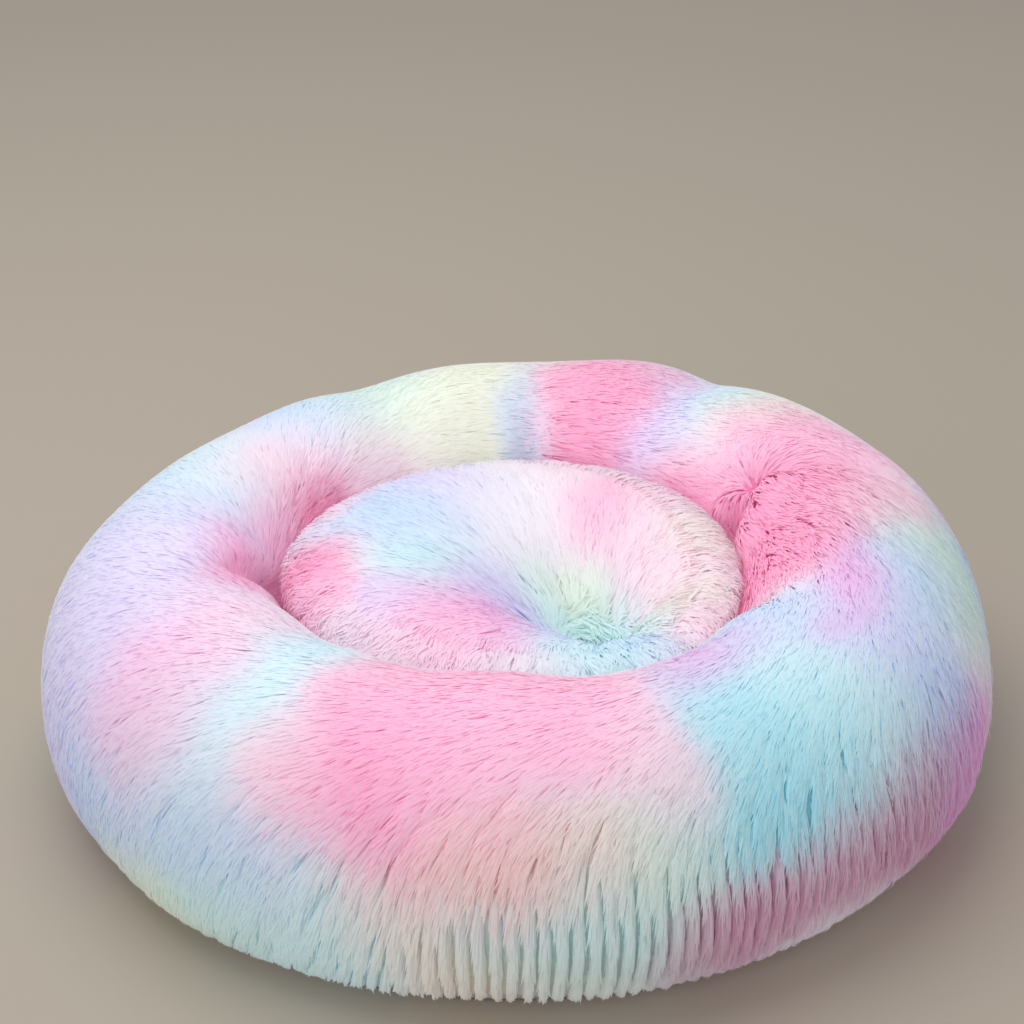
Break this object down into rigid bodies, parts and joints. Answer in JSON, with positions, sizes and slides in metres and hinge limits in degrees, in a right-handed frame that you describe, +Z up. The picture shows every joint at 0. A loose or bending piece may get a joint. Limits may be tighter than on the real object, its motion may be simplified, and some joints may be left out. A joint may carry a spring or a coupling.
{
  "type": "pet cushion bed",
  "caption": "Round plush pet bed: a stuffed long-pile fur rim around a tufted fur pad, sewn to a flat non-slip base.",
  "frame": {"origin": "on the floor at the middle of the base", "axes": "+Z up, through the open top of the nest; +X right and -Y front, with the care label at the back on +Y"},
  "size_m": [0.7, 0.7, 0.2],
  "materials": {
    "rim_fur": "long shag pile, pastel pink, blue, cream and lilac dye",
    "pad_fur": "long shag pile, pastel dye",
    "fibre_filling": "white polyester fibre",
    "lining_cloth": "plain non-woven",
    "base_cloth": "plain woven with raised rubber dots",
    "binding_tape": "ribbed woven tape",
    "tie_thread": "twisted thread",
    "webbing": "woven webbing",
    "label_satin": "blank satin"
  },
  "bodies": {
    "root": {"rim_cover": "rim_fur", "rim_filling": "fibre_filling", "pad_cover": "pad_fur", "pad_filling": "fibre_filling", "divider_wall": "lining_cloth", "base_panel": "base_cloth", "edge_binding": "binding_tape", "tuft_knot": "pad_fur", "tuft_tie": "tie_thread", "anchor_patch": "webbing", "care_label": "label_satin"}
  },
  "joints": []
}
